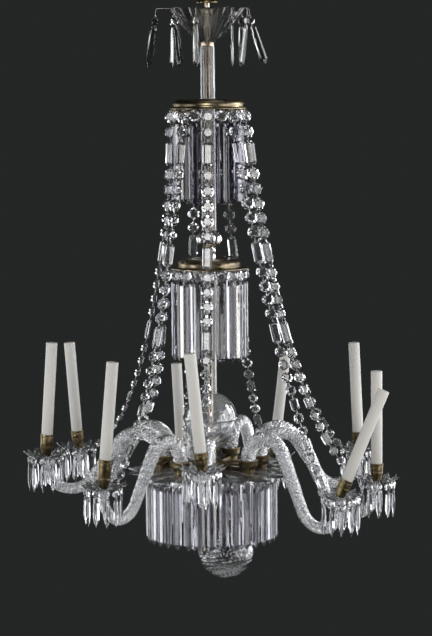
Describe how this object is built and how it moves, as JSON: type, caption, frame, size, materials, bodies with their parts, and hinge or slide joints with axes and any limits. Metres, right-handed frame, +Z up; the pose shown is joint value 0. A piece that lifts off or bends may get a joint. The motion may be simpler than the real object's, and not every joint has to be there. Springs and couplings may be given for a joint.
{
  "type": "cage chandelier",
  "caption": "Hanging crystal chandelier with a cage of bead chains, prism curtains and scrolled glass arms that carry candles over star-rimmed drip pans.",
  "frame": {"origin": "centre of the hanging eye's bore at the top", "axes": "+Z up along the stem, +Y along the eye's bore away from the picture's viewer, +X to the viewer's right"},
  "size_m": [0.8277, 0.8218, 1.3417],
  "materials": {
    "crystal": "clear cut crystal",
    "brass": "aged, satin",
    "silvered_rod": "silvered, slightly worn",
    "candle": "ivory, satin"
  },
  "bodies": {
    "loop": {"hanging_loop": "brass"},
    "chandelier": {"hanging_pin": "brass", "top_cap": "brass", "stem_collars": "brass", "canopy_hooks": "brass", "crown_band": "brass", "middle_band": "brass", "receiver_hub": "brass", "arm_sockets": "brass", "finial_stem": "brass", "candle_cups": "brass", "stem_sleeves": "crystal", "canopy_dish": "crystal", "crown_drops": "crystal", "stem_knop": "crystal", "middle_drops": "crystal", "globe_dome": "crystal", "globe_bowl": "crystal", "star_dish": "crystal", "hub_drops": "crystal", "finial_drops": "crystal", "cut_ball": "crystal", "drip_pans": "crystal", "pan_drops": "crystal", "central_rod": "silvered_rod", "glass_arm_1": "crystal", "glass_arm_2": "crystal", "glass_arm_3": "crystal", "glass_arm_4": "crystal", "glass_arm_5": "crystal", "glass_arm_6": "crystal", "glass_arm_7": "crystal", "glass_arm_8": "crystal", "glass_arm_9": "crystal", "bead_chain_1": "crystal", "bead_chain_2": "crystal", "bead_chain_3": "crystal", "bead_chain_4": "crystal", "bead_chain_5": "crystal", "bead_chain_6": "crystal", "bead_chain_7": "crystal", "bead_chain_8": "crystal", "bead_chain_9": "crystal"},
    "candle_1": {"candle_1": "candle"},
    "candle_2": {"candle_2": "candle"},
    "candle_3": {"candle_3": "candle"},
    "candle_4": {"candle_4": "candle"},
    "candle_5": {"candle_5": "candle"},
    "candle_6": {"candle_6": "candle"},
    "candle_7": {"candle_7": "candle"},
    "candle_8": {"candle_8": "candle"},
    "candle_9": {"candle_9": "candle"},
    "canopy_drop_1": {"canopy_drop_1": "crystal"},
    "canopy_drop_2": {"canopy_drop_2": "crystal"},
    "canopy_drop_3": {"canopy_drop_3": "crystal"},
    "canopy_drop_4": {"canopy_drop_4": "crystal"},
    "canopy_drop_5": {"canopy_drop_5": "crystal"},
    "canopy_drop_6": {"canopy_drop_6": "crystal"},
    "canopy_drop_7": {"canopy_drop_7": "crystal"},
    "canopy_drop_8": {"canopy_drop_8": "crystal"}
  },
  "joints": [
    {"name": "chandelier_swing", "type": "hinge", "parent": "loop", "child": "chandelier", "pos_m": [0, 0, -0.036], "axis": [0, 1, 0], "range_deg": [-15, 15]},
    {"name": "candle_1_lift", "type": "slide", "parent": "chandelier", "child": "candle_1", "axis": [-0.0941, 0, 0.9956], "range_m": [0, 0.06]},
    {"name": "candle_2_lift", "type": "slide", "parent": "chandelier", "child": "candle_2", "axis": [0.3827, 0, 0.9239], "range_m": [0, 0.06]},
    {"name": "candle_3_lift", "type": "slide", "parent": "chandelier", "child": "candle_3", "axis": [0, 0, 1], "range_m": [0, 0.06]},
    {"name": "candle_4_lift", "type": "slide", "parent": "chandelier", "child": "candle_4", "axis": [-0.0436, 0, 0.999], "range_m": [0, 0.06]},
    {"name": "candle_5_lift", "type": "slide", "parent": "chandelier", "child": "candle_5", "axis": [0.1184, 0, 0.993], "range_m": [0, 0.06]},
    {"name": "candle_6_lift", "type": "slide", "parent": "chandelier", "child": "candle_6", "axis": [-0.0454, 0, 0.999], "range_m": [0, 0.06]},
    {"name": "candle_7_lift", "type": "slide", "parent": "chandelier", "child": "candle_7", "axis": [-0.0698, 0, 0.9976], "range_m": [0, 0.06]},
    {"name": "candle_8_lift", "type": "slide", "parent": "chandelier", "child": "candle_8", "axis": [0.0698, 0, 0.9976], "range_m": [0, 0.06]},
    {"name": "candle_9_lift", "type": "slide", "parent": "chandelier", "child": "candle_9", "axis": [0.0872, 0, 0.9962], "range_m": [0, 0.06]},
    {"name": "canopy_drop_1_swing", "type": "hinge", "parent": "chandelier", "child": "canopy_drop_1", "pos_m": [-0.1115, 0, -0.0851], "axis": [0, -1, 0], "range_deg": [-20, 20]},
    {"name": "canopy_drop_2_swing", "type": "hinge", "parent": "chandelier", "child": "canopy_drop_2", "pos_m": [-0.06981, -0.06069, -0.0851], "axis": [0.6561, -0.7547, 0], "range_deg": [-20, 20]},
    {"name": "canopy_drop_3_swing", "type": "hinge", "parent": "chandelier", "child": "canopy_drop_3", "pos_m": [-0.02394, -0.08935, -0.0851], "axis": [0.9659, -0.2588, 0], "range_deg": [-20, 20]},
    {"name": "canopy_drop_4_swing", "type": "hinge", "parent": "chandelier", "child": "canopy_drop_4", "pos_m": [0.05173, -0.07669, -0.0851], "axis": [0.829, 0.5592, 0], "range_deg": [-20, 20]},
    {"name": "canopy_drop_5_swing", "type": "hinge", "parent": "chandelier", "child": "canopy_drop_5", "pos_m": [0.08636, -0.03315, -0.0851], "axis": [0.3584, 0.9336, 0], "range_deg": [-20, 20]},
    {"name": "canopy_drop_6_swing", "type": "hinge", "parent": "chandelier", "child": "canopy_drop_6", "pos_m": [0.09181, 0.01127, -0.0851], "axis": [-0.1219, 0.9925, 0], "range_deg": [-20, 20]},
    {"name": "canopy_drop_7_swing", "type": "hinge", "parent": "chandelier", "child": "canopy_drop_7", "pos_m": [0.07577, 0.05306, -0.0851], "axis": [-0.5736, 0.8192, 0], "range_deg": [-20, 20]},
    {"name": "canopy_drop_8_swing", "type": "hinge", "parent": "chandelier", "child": "canopy_drop_8", "pos_m": [-0.07483, 0.05437, -0.0851], "axis": [-0.5878, -0.809, 0], "range_deg": [-20, 20]}
  ]
}
